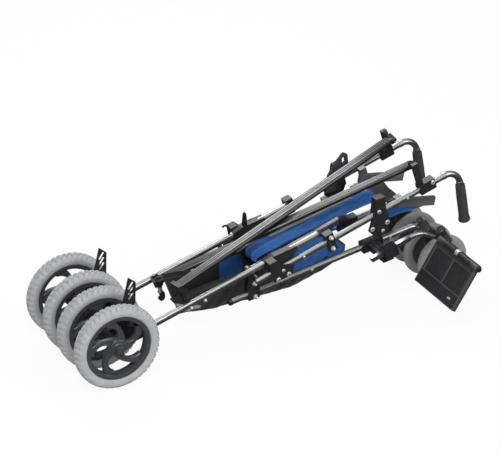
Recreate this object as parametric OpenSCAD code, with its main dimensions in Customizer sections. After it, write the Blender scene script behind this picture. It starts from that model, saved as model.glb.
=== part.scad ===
// Folding special needs buggy, stored folded. Millimetres, +X to the handles, +Y to the far side, +Z up.
// Points are laid out with X = 0 on the rear axle and Y = 0 midway between the two side frames.

/* [Wheels] */
// Rear wheel outside diameter
wheel_d = 292; // [250:1:320]
// Rear tyre width
tyre_w = 50; // [40:1:60]
// Rear rim diameter under the tyre
rim_d = 224; // [190:1:240]
// Distance between the two wheels of a pair
pair_gap = 136; // [120:1:150]
// Rear axle diameter
axle_d = 12; // [10:0.5:16]
// Caster wheel diameter
caster_d = 190; // [150:1:200]
// Caster wheel width
caster_w = 24; // [20:1:30]
// Distance between the two wheels of a caster
caster_gap = 94; // [80:1:100]

/* [Frame] */
// Main tube diameter
tube_d = 22; // [19:0.5:25]
// Seat rail and hanger tube diameter
rail_d = 16; // [14:0.5:18]
// Half distance between the two rear wheel pairs
side_y = 125; // [115:1:140]
// Rear leg layer, from the middle plane
leg_y = 113; // [110:1:116]
// Push cane layer
cane_y = 141; // [138:1:146]
// Front leg layer
front_y = 86; // [84:1:88]
// Seat rail layer
seat_y = 60; // [56:1:62]
// Caster stem, from the middle plane
stem_y = 95; // [92:1:98]
// Legrest hanger, from the middle plane
hanger_y = 205; // [203:1:210]
// Brace bar width
bar_w = 40; // [34:1:46]
// Brace bar thickness
bar_t = 18; // [16:1:20]

/* [Comfort] */
// Hand grip diameter
grip_d = 36; // [28:1:40]
// Hand grip length
grip_l = 146; // [120:1:160]
// Footplate width
plate_w = 240; // [220:1:270]
// Footplate depth
plate_l = 162; // [150:1:190]
// Footplate thickness
plate_t = 12; // [10:1:16]
// Cloth thickness
cloth_t = 7; // [5:0.5:10]
// Gap between the cloth and what holds it
seam = 0.3; // [0.2:0.1:0.5]

/* [Fits] */
// Radial clearance of every turning pin
fit = 0.08; // [0.03:0.01:0.1]
// Side gap between turning pieces
side_gap = 0.6; // [0.4:0.1:1]

/* [Hidden] */
$fn = 48;
// Whole frame: lean towards the casters, and shift to the middle of its box
lean = 1.33;
ox = -599.2;
oy = 122.7;
wheel_r = wheel_d/2;
caster_r = caster_d/2;
tube_r = tube_d/2;
rail_r = rail_d/2;
axle_r = axle_d/2;
// Pivot of the cane on the rear leg, and of the front leg and seat rail on the cane
pr = [618, 248.5];
pf = [538, 223];
// Cane, rear leg and front leg lines
cane_a = 17.74;
leg_a = 16.92;
front_a = 9.41;
cane_s = [1234, pf[1]+(1234-pf[0])*tan(cane_a)];
cane_r = 50;
// Turn of the handle bend
grip_turn = 98;
leg_s = [66, 110.4];
leg_e = [778, leg_s[1]+(778-leg_s[0])*tan(leg_a)];
front_e = [455, 134];
front_s = [1140, front_e[1]+(1140-front_e[0])*tan(front_a)];
front_r = 50;
// Caster head on the front leg, and caster axle
head = [1200, 236];
cax = [1240, 124];
head_a = 36;
pin_r = 6;
// Collar over a tube joint: length and wall
collar_l = 12;
collar_t = 1.5;
// Slope of the seat rail
rail_t = 0.32;
// Footplate swing post and hinge barrel
post = [1193, 276];
barrel = [1178, 259];
plate_a = 57.6;
// Legrest hanger: slope of its slide, a point on it, and its bend
hang_a = 18;
hang_p = [990, 256];
hang_r = 80;
hang_turn = 46;
// Lock lever pivot on the far cane
lever_p = [946, pf[1]+(946-pf[0])*tan(cane_a)];
// Brake pivot
brake_p = [62, 205];
brake_t = 4;

// Colours
steel = [0.70, 0.71, 0.73];
black = [0.09, 0.09, 0.10];
grey = [0.45, 0.45, 0.46];
tyre_c = [0.66, 0.66, 0.67];
blue = [0.09, 0.20, 0.52];

module place() {
  translate([ox, oy, wheel_r]) rotate([0, lean, 0]) translate([0, 0, -wheel_r]) children();
}

// The far side is the near side mirrored in the middle plane
module far() {
  mirror([0, 1, 0]) children();
}

// Round bar along Y at a point of the side view
module ybar(p, y0, y1, r) {
  translate([p[0], y0, p[1]]) rotate([-90, 0, 0]) cylinder(h = y1-y0, r = r);
}

// Straight tube in a plane of constant Y
module leg_tube(p, q, y, r) {
  d = sqrt((q[0]-p[0])*(q[0]-p[0])+(q[1]-p[1])*(q[1]-p[1]));
  a = atan2(q[1]-p[1], q[0]-p[0]);
  translate([p[0], y, p[1]]) rotate([0, 90-a, 0]) cylinder(h = d, r = r);
}

// Block on a line of the side view: start point, angle, length, Y span, height each side of the line
module line_block(p, a, x0, x1, y0, y1, z0, z1) {
  translate([p[0], 0, p[1]]) rotate([0, -a, 0]) translate([x0, y0, z0]) cube([x1-x0, y1-y0, z1-z0]);
}

// Plate in the side view from an outline
module side_plate(pts, y0, y1) {
  translate([0, y1, 0]) rotate([90, 0, 0]) linear_extrude(height = y1-y0) polygon(pts);
}

// Downward bend: start point, start angle, radius, sweep
module bend(p, a, y, rad, sweep, r) {
  c = [p[0]+rad*sin(a), p[1]-rad*cos(a)];
  translate([c[0], y, c[1]]) rotate([90, 0, 0]) rotate([0, 0, 90+a-sweep])
    rotate_extrude(angle = sweep) translate([rad, 0]) circle(r = r);
}

// Short collar over a tube joint
module collar(p, a, y) {
  d = [cos(a), sin(a)];
  leg_tube(p-d*collar_l/2, p+d*collar_l/2, y, tube_r+collar_t);
}

// Round tyre about Y, centred on a point
module tyre_at(y) {
  r = wheel_r;
  w = tyre_w/2;
  s = rim_d/2;
  h = r-s;
  color(tyre_c) translate([0, y, wheel_r]) rotate([90, 0, 0]) rotate_extrude($fn = 96)
    polygon([[s, -w+8], [s+0.24*h, -w+1], [s+0.47*h, -w], [r-0.41*h, -w], [r-0.15*h, -w+4], [r-0.03*h,
      -w+10],
      [r, -6], [r, 6], [r-0.03*h, w-10], [r-0.15*h, w-4], [r-0.41*h, w], [s+0.47*h, w], [s+0.24*h, w-1],
      [s, w-8]]);
}

// Five-spoke rim with a hub bored for the axle
module rim_at(y) {
  s = rim_d/2;
  w = tyre_w/2;
  color(black) translate([0, y, wheel_r]) rotate([90, 0, 0]) difference() {
    union() {
      rotate_extrude($fn = 96) polygon([[s-14, -w+9], [s, -w+8], [s, w-8], [s-14, w-9]]);
      cylinder(h = tyre_w-8, r = 27, center = true);
      for (k = [0:4]) rotate([0, 0, 72*k]) translate([0, 0, -12]) linear_extrude(height = 24)
        polygon([[16, -17], [62, -7], [s-6, -30], [s-6, 2], [66, 15], [18, 16]]);
    }
    cylinder(h = tyre_w+20, r = axle_r+fit, center = true);
  }
}

// Rear axle with an end nut on each side
module axle_at(y) {
  e = pair_gap/2+tyre_w/2-4+side_gap;
  color(steel) union() {
    ybar([0, wheel_r], y-e-9, y+e+9, axle_r);
    ybar([0, wheel_r], y-e-9, y-e, 11);
    ybar([0, wheel_r], y+e, y+e+9, 11);
  }
}

module rear_leg() {
  color(steel) leg_tube(leg_s, leg_e, -leg_y, tube_r);
}

// Casting that joins the leg to the axle and carries the brake
module carrier() {
  w = pair_gap/2-tyre_w/2+4-side_gap;
  y0 = -side_y-w;
  y1 = -side_y+w;
  color(black) difference() {
    union() {
      ybar([0, wheel_r], y0, y1, 20);
      side_plate([[-14, 132], [40, 90], [150, 122], [150, 150], [66, 168], [70, 214], [54, 214], [30,
        176], [-12, 163]],
        -leg_y-17, -leg_y+17);
    }
    ybar([0, wheel_r], y0-5, y1+5, axle_r+fit);
    leg_tube(leg_s, leg_e, -leg_y, tube_r);
    ybar(brake_p, -leg_y-40, -leg_y+40, 5+fit);
    translate([20, -leg_y-brake_t/2-side_gap, 186]) cube([110, brake_t+2*side_gap, 60]);
  }
}

// Brake pedal: a thin slotted plate on a cross pin, standing up out of the carrier between the wheels
module brake() {
  y0 = -leg_y-17-side_gap;
  y1 = -leg_y+17+side_gap;
  color(black) union() {
    ybar(brake_p, y0-5, y1+5, 5);
    ybar(brake_p, y0-5, y0, 9);
    ybar(brake_p, y1, y1+5, 9);
    difference() {
      side_plate([[51, 197], [72, 195], [104, 240], [107, 313], [81, 335], [62, 258]],
        -leg_y-brake_t/2, -leg_y+brake_t/2);
      for (k = [0:2]) side_plate([[77, 256+19*k], [84, 252+19*k], [100, 276+19*k], [93, 280+19*k]],
        -leg_y-10, -leg_y+10);
    }
  }
}

// Forked bracket under the rear leg that holds the cane pivot
module y_bracket() {
  yi = -leg_y-tube_r;
  yo = -cane_y-tube_r-1;
  color(black) difference() {
    union() {
      side_plate([[570, 252], [690, 288], [684, 308], [600, 290], [566, 274]], -leg_y-15, -leg_y+12);
      side_plate([[572, 250], [596, 214], [644, 228], [664, 280], [684, 306], [640, 300], [572, 276]],
        yi-5, yi);
      side_plate([[576, 238], [588, 208], [648, 224], [662, 262], [620, 268], [594, 290], [568, 282]],
        yo-5, yo);
      side_plate([[570, 262], [593, 268], [593, 290], [567, 282]], yo-2, yi);
      ybar(pr, yo-7, yi, pin_r);
      ybar([600, 219], yo-8, yo-4, 6);
      ybar([638, 231], yo-8, yo-4, 6);
    }
    leg_tube(leg_s, leg_e, -leg_y, tube_r);
  }
}

// Push cane: straight tube, handle bend and grip core
module cane(lever) {
  e0 = [pf[0]-12*cos(cane_a), pf[1]-12*sin(cane_a)];
  c = [cane_s[0]+cane_r*sin(cane_a), cane_s[1]-cane_r*cos(cane_a)];
  ge = 90+cane_a-grip_turn;
  g0 = [c[0]+cane_r*cos(ge), c[1]+cane_r*sin(ge)];
  g1 = [g0[0]+grip_l*sin(ge), g0[1]-grip_l*cos(ge)];
  color(steel) difference() {
    union() {
      leg_tube(e0, cane_s, -cane_y, tube_r);
      bend(cane_s, cane_a, -cane_y, cane_r, grip_turn, tube_r);
      // Collar where the bent handle joins the straight tube
      collar(cane_s, cane_a, -cane_y);
      collar(g0, ge-90, -cane_y);
      leg_tube(g0, g1, -cane_y, tube_r);
      // Pin that carries the front leg and the seat rail
      ybar(pf, -cane_y, -seat_y+rail_r+4, pin_r);
      ybar(pf, -seat_y+rail_r+side_gap, -seat_y+rail_r+5, 9);
      // Pin that carries the lock lever
      if (lever) ybar(lever_p, -cane_y, -cane_y+tube_r+16, pin_r);
    }
    ybar(pr, -cane_y-30, -cane_y+30, pin_r+fit);
  }
}

module grip() {
  c = [cane_s[0]+cane_r*sin(cane_a), cane_s[1]-cane_r*cos(cane_a)];
  ge = 90+cane_a-grip_turn;
  g0 = [c[0]+cane_r*cos(ge), c[1]+cane_r*sin(ge)];
  g1 = [g0[0]+grip_l*sin(ge), g0[1]-grip_l*cos(ge)];
  g2 = [g0[0]+(grip_l+7)*sin(ge), g0[1]-(grip_l+7)*cos(ge)];
  color(black) difference() {
    leg_tube(g0+(collar_l/2+side_gap)*[sin(ge), -cos(ge)], g2, -cane_y, grip_d/2);
    leg_tube(g0, g1, -cane_y, tube_r);
  }
}

// Hinge plates halfway up the cane, with rivets
module cane_hub() {
  yo = -cane_y-tube_r-5;
  yi = -cane_y+tube_r+5;
  color(black) difference() {
    union() {
      side_plate([[942, 310], [968, 283], [1008, 291], [1023, 336], [1004, 382], [998, 430], [966,
        424], [960, 372]],
        yo, -cane_y-6);
      side_plate([[962, 340], [1013, 348], [1004, 382], [998, 430], [966, 424], [962, 372]], -cane_y-6, yi);
      ybar([976, 380], yo-3, yo, 6);
      ybar([1008, 334], yo-3, yo, 7);
      ybar([952, 320], yo-3, yo, 7);
      ybar([992, 306], yo-3, yo, 5);
    }
    leg_tube([900, pf[1]+(900-pf[0])*tan(cane_a)], [1100, pf[1]+(1100-pf[0])*tan(cane_a)], -cane_y, tube_r);
  }
}

// Clamp where the cane passes the end of the rear leg
module cane_clamp() {
  p = [797, pf[1]+(797-pf[0])*tan(cane_a)];
  color(black) difference() {
    union() {
      line_block(p, cane_a, -13, 17, -cane_y-tube_r-4, -cane_y+tube_r+3, -34, 33);
      ybar([p[0]-3, p[1]+21], -cane_y-tube_r-9, -cane_y-tube_r-2, 7);
      ybar([p[0]+6, p[1]-20], -cane_y-tube_r-9, -cane_y-tube_r-2, 7);
    }
    line_block(p, cane_a, -30, 30, -cane_y, -cane_y+40, -60, -14);
    leg_tube([700, pf[1]+(700-pf[0])*tan(cane_a)], [900, pf[1]+(900-pf[0])*tan(cane_a)], -cane_y, tube_r);
  }
}

// Bracket at the cane's top: clamp, arm and the slanted pin that the brace bar swings on
module handle_bracket(h) {
  p = [1168, pf[1]+(1168-pf[0])*tan(cane_a)];
  o = [cos(bar_tilt)*cos(bar_turn), cos(bar_tilt)*sin(bar_turn), sin(bar_tilt)];
  m = h+o*(bar_w/2+10);
  xb = (m[0]-p[0])*cos(cane_a)+(m[2]-p[1])*sin(cane_a);
  zb = (m[2]-p[1])*cos(cane_a)-(m[0]-p[0])*sin(cane_a);
  color(black) difference() {
    union() {
      line_block(p, cane_a, min(-20, xb-10), max(28, xb+10), -cane_y-tube_r-4, -cane_y+tube_r+4, -16, 22);
      line_block(p, cane_a, xb-10, xb+10, -cane_y-8, -cane_y+7, 0, zb+9);
      translate(h) rotate([0, 90-bar_tilt, bar_turn]) translate([0, 0, bar_w/2+4]) cylinder(h = 13, r = 10);
      translate(h) rotate([0, 90-bar_tilt, bar_turn]) translate([0, 0,
        -knuckle_l/2-3]) cylinder(h = bar_w+10, r = pin_r);
      ybar([p[0]+12, p[1]+18], -cane_y-tube_r-9, -cane_y-tube_r-2, 7);
    }
    leg_tube([1000, pf[1]+(1000-pf[0])*tan(cane_a)], cane_s, -cane_y, tube_r);
  }
}

// Flat stay under the cane's top that holds the backrest cloth
module back_stay() {
  p = [1052, pf[1]+(1052-pf[0])*tan(cane_a)];
  color(grey) difference() {
    union() {
      line_block(p, -9.4, 0, 176, -cane_y+30, -cane_y+44, -34, -3);
      line_block(p, cane_a, 6, 30, -cane_y+tube_r-3, -cane_y+32, -34, 6);
    }
    leg_tube([1000, pf[1]+(1000-pf[0])*tan(cane_a)], cane_s, -cane_y, tube_r);
  }
}

// Front leg: straight tube, bend and caster head
module front_leg() {
  c = [front_s[0]+front_r*sin(front_a), front_s[1]-front_r*cos(front_a)];
  a = 90+front_a-40;
  e = [c[0]+front_r*cos(a), c[1]+front_r*sin(a)];
  color(steel) difference() {
    union() {
      leg_tube(front_e, front_s, -front_y, tube_r);
      bend(front_s, front_a, -front_y, front_r, 40, tube_r);
      leg_tube(e, [head[0]-4, head[1]+3], -front_y, tube_r);
      collar(front_s, front_a, -front_y);
      collar(e, a-90, -front_y);
      translate([head[0], -stem_y, head[1]]) rotate([0, -head_a, 0]) translate([0, 0,
        -4]) cylinder(h = 44, r = 17);
    }
    translate([head[0], -stem_y, head[1]]) rotate([0, -head_a, 0]) translate([0, 0,
      -30]) cylinder(h = 100, r = 7+fit);
  }
}

// Plates that carry the front leg on the cane's pin
module lower_clamp() {
  y0 = -front_y-tube_r-3;
  y1 = -front_y+tube_r+3;
  color(black) difference() {
    union() {
      side_plate([[522, 128], [562, 134], [562, 174], [556, 232], [540, 241], [522, 232], [518, 172]],
        y0, y0+6);
      side_plate([[522, 128], [562, 134], [562, 174], [556, 232], [540, 241], [522, 232], [518, 172]],
        y1-5, y1);
      side_plate([[522, 128], [562, 134], [562, 170], [520, 164]], y0, y1);
      ybar([540, 192], y0-5, y0, 7);
      ybar([544, 142], y0-5, y0, 7);
    }
    leg_tube(front_e, front_s, -front_y, tube_r);
    ybar(pf, y0-20, y1+20, pin_r+fit);
  }
}

// Black socket on the front leg with a cross tube for the legrest hanger
module socket() {
  p = [990, front_e[1]+(990-front_e[0])*tan(front_a)];
  color(black) difference() {
    union() {
      line_block(p, front_a, -38, 40, -front_y-tube_r-5, -front_y+tube_r+5, -18, 18);
      ybar([p[0], p[1]+4], -hanger_y, -front_y-tube_r, 13);
      line_block(hang_p, hang_a, -24, 26, -hanger_y-15, -hanger_y+15, -28, 15);
      line_block(p, front_a, -20, 20, -hanger_y, -front_y-tube_r, -10, 14);
    }
    leg_tube(front_e, front_s, -front_y, tube_r);
    line_block(hang_p, hang_a, -60, 60, -hanger_y-rail_r-fit, -hanger_y+rail_r+fit, -rail_r-fit,
      rail_r+fit);
  }
}

// Legrest hanger: square sliding tube, a round bend and an upright post
module hanger() {
  d = [cos(hang_a), sin(hang_a)];
  b0 = hang_p+88*d;
  c = [b0[0]+hang_r*sin(hang_a), b0[1]-hang_r*cos(hang_a)];
  ea = 90+hang_a-hang_turn;
  b1 = [c[0]+hang_r*cos(ea), c[1]+hang_r*sin(ea)];
  d1 = [sin(ea), -cos(ea)];
  color(steel) difference() {
    union() {
      line_block(hang_p, hang_a, -70, 84, -hanger_y-rail_r, -hanger_y+rail_r, -rail_r, rail_r);
      leg_tube(b0-20*d, b0, -hanger_y, rail_r);
      bend(b0, hang_a, -hanger_y, hang_r, hang_turn, rail_r);
      leg_tube(b1, b1+80*d1, -hanger_y, rail_r);
      leg_tube(b0-6*d, b0+6*d, -hanger_y, rail_r+collar_t);
      leg_tube(b1-6*d1, b1+6*d1, -hanger_y, rail_r+collar_t);
      translate([post[0], -hanger_y, post[1]]) rotate([0, -head_a, 0]) translate([0, 0,
        -56]) cylinder(h = 56, r = 12);
    }
    translate([post[0], -hanger_y, post[1]]) rotate([0, -head_a, 0]) translate([0, 0,
      -24]) cylinder(h = 60, r = pin_r+fit);
  }
}

// Caster fork: stem, leg and axle
module caster_fork() {
  s = caster_gap/2+caster_w/2+side_gap;
  color(black) union() {
    translate([head[0], -stem_y, head[1]]) rotate([0, -head_a, 0]) union() {
      translate([0, 0, -30]) cylinder(h = 74, r = 7);
      translate([0, 0, 40+side_gap]) cylinder(h = 6, r = 13);
      translate([0, 0, -26]) cylinder(h = 22-side_gap, r = 15);
    }
    side_plate([[cax[0]-14, cax[1]-12], [cax[0]+14, cax[1]-12], [cax[0]+16, cax[1]+16], [1230, 230],
      [1199, 212],
      [cax[0]-18, cax[1]+16]], -stem_y-11, -stem_y+11);
    ybar(cax, -stem_y-s-4, -stem_y+s+4, 5);
    ybar(cax, -stem_y-s-4, -stem_y-s, 9);
    ybar(cax, -stem_y+s, -stem_y+s+4, 9);
  }
}

module caster_wheel(y) {
  r = caster_r;
  w = caster_w/2;
  color(grey) translate([cax[0], y, cax[1]]) rotate([90, 0, 0]) rotate_extrude($fn = 72)
    polygon([[5+fit, -w], [20, -w], [24, -5], [56, -5], [62, -w+2], [r-12, -w], [r-4, -w+4], [r, -3],
      [r, 3],
      [r-4, w-4], [r-12, w], [62, w-2], [56, 5], [24, 5], [20, w], [5+fit, w]]);
}

module seat_rail() {
  color(steel) difference() {
    union() {
      leg_tube([pf[0]-10, rail_z(pf[0]-10)], [884, rail_z(884)], -seat_y, rail_r);
      ybar(pf, -seat_y-rail_r, -seat_y+rail_r, 13);
    }
    ybar(pf, -seat_y-40, -seat_y+40, pin_r+fit);
  }
}

// Brace bar with rounded long edges between two points, flat side up
module brace(p, q, e) {
  d = q-p;
  l = norm(d);
  translate(p) rotate([0, 0, atan2(d[1], d[0])]) rotate([0, 90-asin(d[2]/l), 0]) translate([0, 0, -e])
    linear_extrude(height = l+2*e) union() {
      square([bar_t, bar_w-bar_t], center = true);
      translate([0, (bar_w-bar_t)/2]) circle(d = bar_t);
      translate([0, -(bar_w-bar_t)/2]) circle(d = bar_t);
      }
}

// Ends of the two crossing brace bars
over_lo = [268, -92, 248];
over_hi = [1158, 104, 486];
under_lo = [268, 74, 184];
under_hi = [1112, -100, 490];
// Swing pivots of the bars, just past their upper ends, and the slant of their pins
bar_tilt = 25;
bar_turn = -111;
knuckle_l = 30;
over_h = over_hi+(over_hi-over_lo)*17/norm(over_hi-over_lo);
under_h = under_hi+(under_hi-under_lo)*17/norm(under_hi-under_lo);

// End cap at the low end, and the knuckle at the upper end
module bar_caps(p, q, h, side) {
  d = q-p;
  l = norm(d);
  color(black) difference() {
    union() {
      translate(p) rotate([0, 0, atan2(d[1], d[0])]) rotate([0, 90-asin(d[2]/l), 0]) union() {
        translate([-bar_t/2-2, -bar_w/2-2, -14]) cube([bar_t+4, bar_w+4, 14]);
        translate([-bar_t/2, -bar_w/2+6, l]) cube([bar_t, bar_w-12, 17]);
      }
      translate(h) rotate([0, 90-bar_tilt, side*bar_turn]) cylinder(h = knuckle_l, r = 13, center = true);
    }
    translate(h) rotate([0, 90-bar_tilt, side*bar_turn]) cylinder(h = 2*bar_w, r = pin_r+fit,
      center = true);
    brace(p, q, 0);
  }
}

module bar_over() {
  color(grey) brace(over_lo, over_hi, 0);
}

module bar_under() {
  color(grey) brace(under_lo, under_hi, 0);
}

module bar_over_caps() {
  bar_caps(over_lo, over_hi, over_h, -1);
}

module bar_under_caps() {
  bar_caps(under_lo, under_hi, under_h, 1);
}

// Lock lever with a slotted finger loop on the far cane
module lock_lever() {
  y0 = cane_y-tube_r-16;
  color(black) difference() {
    side_plate([[926, 338], [964, 338], [972, 392], [1012, 434], [1008, 466], [992, 474], [962, 442],
      [934, 398]], y0, y0+10);
    side_plate([[988, 430], [1000, 440], [997, 462], [986, 455]], y0-5, y0+20);
    ybar(lever_p, y0-20, y0+40, pin_r+fit);
  }
}

// Footplate swing bracket: post pin, disc, arm outside the hanger and hinge rod
module swing_bracket() {
  color(black) union() {
    translate([post[0], -hanger_y, post[1]]) rotate([0, -head_a, 0]) union() {
      translate([0, 0, -22]) cylinder(h = 32, r = pin_r);
      translate([0, 0, side_gap]) cylinder(h = 10-side_gap, r = 16);
    }
    side_plate([[1170, 251], [1182, 248], [1201, 276], [1192, 288], [1180, 283], [1167, 263]],
      -hanger_y-17, -hanger_y-13);
    ybar(barrel, -hanger_y-plate_w-21, -hanger_y-13, 6);
    ybar(barrel, -hanger_y-plate_w-24, -hanger_y-plate_w-18-side_gap, 9);
  }
}

module footplate() {
  y1 = -hanger_y-17-side_gap;
  y0 = y1-plate_w;
  color(black) difference() {
    union() {
      ybar(barrel, y0, y1, 13);
      line_block(barrel, 180+plate_a, 9, plate_l, y0+2, y1-2, -plate_t/2, plate_t/2);
      for (k = [0:2]) line_block(barrel, 180+plate_a, 22, plate_l-6, y0+5+k*(plate_w-22)/2,
        y0+17+k*(plate_w-22)/2,
        -plate_t/2-6, 0);
    }
    ybar(barrel, y0-5, y1+5, 6+fit);
  }
}

// Height of the seat rail at a place along X
function rail_z(x) = pf[1]+(x-pf[0])*rail_t;

// Closed sheet: a grid of points on two faces, with its four edges
module sheet(up, dn) {
  m = len(up);
  n = len(up[0]);
  top = [for (i = [0:m-1]) for (j = [0:n-1]) up[i][j]];
  low = [for (i = [0:m-1]) for (j = [0:n-1]) dn[i][j]];
  k = m*n;
  faces = concat(
    [for (i = [0:m-2]) for (j = [0:n-2]) each [[i*n+j, i*n+j+1, (i+1)*n+j+1], [i*n+j, (i+1)*n+j+1,
      (i+1)*n+j]]],
    [for (i = [0:m-2]) for (j = [0:n-2]) each [[k+i*n+j, k+(i+1)*n+j+1, k+i*n+j+1],
      [k+i*n+j, k+(i+1)*n+j, k+(i+1)*n+j+1]]],
    [for (i = [0:m-2]) each [[i*n, (i+1)*n, k+(i+1)*n], [i*n, k+(i+1)*n, k+i*n]]],
    [for (i = [0:m-2]) each [[i*n+n-1, k+(i+1)*n+n-1, (i+1)*n+n-1], [i*n+n-1, k+i*n+n-1, k+(i+1)*n+n-1]]],
    [for (j = [0:n-2]) each [[j, k+j+1, j+1], [j, k+j, k+j+1]]],
    [for (j = [0:n-2]) each [[(m-1)*n+j, (m-1)*n+j+1, k+(m-1)*n+j+1], [(m-1)*n+j, k+(m-1)*n+j+1,
      k+(m-1)*n+j]]]);
  polyhedron(points = concat(top, low), faces = faces, convexity = 6);
}

// Seat cloth: a deep sagging trough hung from the two seat rails
sling_x = [300, 360, 420, 480, 530, 560, 580, 640, 700, 760, 820, 846, 870, 900, 920];
sling_low = [[300, 102], [420, 90], [590, 88], [742, 100], [836, 124], [920, 152]];
sling_top = [[300, 136], [480, 186], [560, 206], [580, rail_z(580)], [846, rail_z(846)], [870, 262],
  [920, 214]];
sling_w = [[300, 38], [560, 43], [580, seat_y-rail_r-seam], [846, seat_y-rail_r-seam], [870, 43], [920,
  38]];
function sling_p(x, v, in) = let (w = lookup(x, sling_w)-(in ? cloth_t : 0), z0 = lookup(x,
  sling_low)+(in ? cloth_t : 0),
  z1 = lookup(x, sling_top), a = abs(v), fold = 3*sin(x*2.2)*sin(180*a))
  [x, sign(v)*(w*sqrt(a)-fold*a), z0+(z1-z0)*a*a*a];
module seat_sling() {
  color(black) sheet([for (x = sling_x) [for (k = [-6:6]) sling_p(x, k/6, true)]],
    [for (x = sling_x) [for (k = [-6:6]) sling_p(x, k/6, false)]]);
}

// Back cloth: doubled back under itself, creased lengthways, with a wide hem that meets the two stays
panel_s = [[1106, 366], [1060, 357], [1052, 356], [980, 344], [910, 330], [830, 312], [740, 288], [660,
  268], [610, 257], [584, 246],
  [578, 234], [590, 226], [640, 228], [710, 236], [790, 254], [850, 276], [896, 298]];
function panel_n(i) = let (a = panel_s[max(i-1, 0)], b = panel_s[min(i+1, len(panel_s)-1)],
  d = b-a) [-d[1], d[0]]/norm(d);
function panel_w(i) = i < 2 ? cane_y-44-seam : i < 10 ? 40 : 34;
function panel_p(i, v, o) = let (c = panel_s[i], n = panel_n(i),
  f = (i < 3 ? 1 : 4)*sin(360*v+14*i)*(1-v*v), q = c+n*(o+f))
  [q[0], v*panel_w(i), q[1]];
module back_panel() {
  color(blue) sheet([for (i = [0:len(panel_s)-1]) [for (k = [-6:6]) panel_p(i, k/6, -cloth_t/2)]],
    [for (i = [0:len(panel_s)-1]) [for (k = [-6:6]) panel_p(i, k/6, cloth_t/2)]]);
}

// Edge binding of the back cloth, lying on its upper face
module webbing() {
  color(grey) sheet([for (i = [3:7]) [for (k = [-6:-3]) panel_p(i, k/6, -cloth_t/2-seam-4)]],
    [for (i = [3:7]) [for (k = [-6:-3]) panel_p(i, k/6, -cloth_t/2-seam)]]);
}

module all_nodes() {
  axle_at(-side_y);  // n_axle
  tyre_at(-side_y-pair_gap/2);  // n_tyre_out
  rim_at(-side_y-pair_gap/2);  // n_rim_out
  tyre_at(-side_y+pair_gap/2);  // n_tyre_in
  rim_at(-side_y+pair_gap/2);  // n_rim_in
  rear_leg();  // n_rear_leg
  carrier();  // n_carrier
  y_bracket();  // n_y_bracket
  brake();  // n_brake
  cane(false);  // n_cane
  grip();  // n_grip
  cane_hub();  // n_cane_hub
  cane_clamp();  // n_cane_clamp
  handle_bracket(under_h);  // n_handle_bracket
  back_stay();  // n_back_stay
  front_leg();  // n_front_leg
  lower_clamp();  // n_lower_clamp
  socket();  // n_socket
  hanger();  // n_hanger
  caster_fork();  // n_caster_fork
  caster_wheel(-stem_y-caster_gap/2);  // n_caster_out
  caster_wheel(-stem_y+caster_gap/2);  // n_caster_in
  seat_rail();  // n_seat_rail
  far() axle_at(-side_y);  // f_axle
  far() tyre_at(-side_y-pair_gap/2);  // f_tyre_out
  far() rim_at(-side_y-pair_gap/2);  // f_rim_out
  far() tyre_at(-side_y+pair_gap/2);  // f_tyre_in
  far() rim_at(-side_y+pair_gap/2);  // f_rim_in
  far() rear_leg();  // f_rear_leg
  far() carrier();  // f_carrier
  far() y_bracket();  // f_y_bracket
  far() brake();  // f_brake
  far() cane(true);  // f_cane
  far() grip();  // f_grip
  far() cane_hub();  // f_cane_hub
  far() cane_clamp();  // f_cane_clamp
  far() handle_bracket([over_h[0], -over_h[1], over_h[2]]);  // f_handle_bracket
  far() back_stay();  // f_back_stay
  far() front_leg();  // f_front_leg
  far() lower_clamp();  // f_lower_clamp
  far() socket();  // f_socket
  far() hanger();  // f_hanger
  far() caster_fork();  // f_caster_fork
  far() caster_wheel(-stem_y-caster_gap/2);  // f_caster_out
  far() caster_wheel(-stem_y+caster_gap/2);  // f_caster_in
  far() seat_rail();  // f_seat_rail
  bar_over();
  bar_over_caps();
  bar_under();
  bar_under_caps();
  lock_lever();
  swing_bracket();
  footplate();
  seat_sling();
  back_panel();
  webbing();
}

place() all_nodes();
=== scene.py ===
import bmesh
import bpy
import numpy as np
from mathutils import Matrix


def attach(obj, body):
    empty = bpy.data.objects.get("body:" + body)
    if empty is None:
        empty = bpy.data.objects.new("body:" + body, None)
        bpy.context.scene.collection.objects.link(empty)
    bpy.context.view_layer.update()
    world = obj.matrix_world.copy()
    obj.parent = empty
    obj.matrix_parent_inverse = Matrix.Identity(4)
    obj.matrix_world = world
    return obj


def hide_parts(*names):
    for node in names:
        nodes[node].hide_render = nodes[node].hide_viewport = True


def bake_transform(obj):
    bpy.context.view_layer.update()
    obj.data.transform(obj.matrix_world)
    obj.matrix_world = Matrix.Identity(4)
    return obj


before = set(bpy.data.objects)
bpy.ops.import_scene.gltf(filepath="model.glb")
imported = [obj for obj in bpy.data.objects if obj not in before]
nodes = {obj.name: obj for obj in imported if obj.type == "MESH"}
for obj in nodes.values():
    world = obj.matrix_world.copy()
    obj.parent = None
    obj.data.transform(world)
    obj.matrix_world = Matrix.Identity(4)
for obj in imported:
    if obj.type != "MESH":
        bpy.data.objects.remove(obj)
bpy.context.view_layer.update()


# Studio: a wide pale floor under soft lamps, with the camera where the photographer stood,
# a little above the folded buggy and looking past its rear wheels to the handles.
LEAN = np.radians(1.33)
AXLE_Z = 146.0
SHIFT = np.array([-599.2, 122.7, AXLE_Z])


def lay(p):
    """Side-view layout in millimetres, X = 0 on the rear axle, leaned about it and shifted, in metres."""
    p = np.asarray(p, float)
    x, y, z = p[..., 0], p[..., 1], p[..., 2]-AXLE_Z
    c, s = np.cos(LEAN), np.sin(LEAN)
    return (np.stack([c*x+s*z, y, c*z-s*x], -1)+SHIFT)/1000


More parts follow.
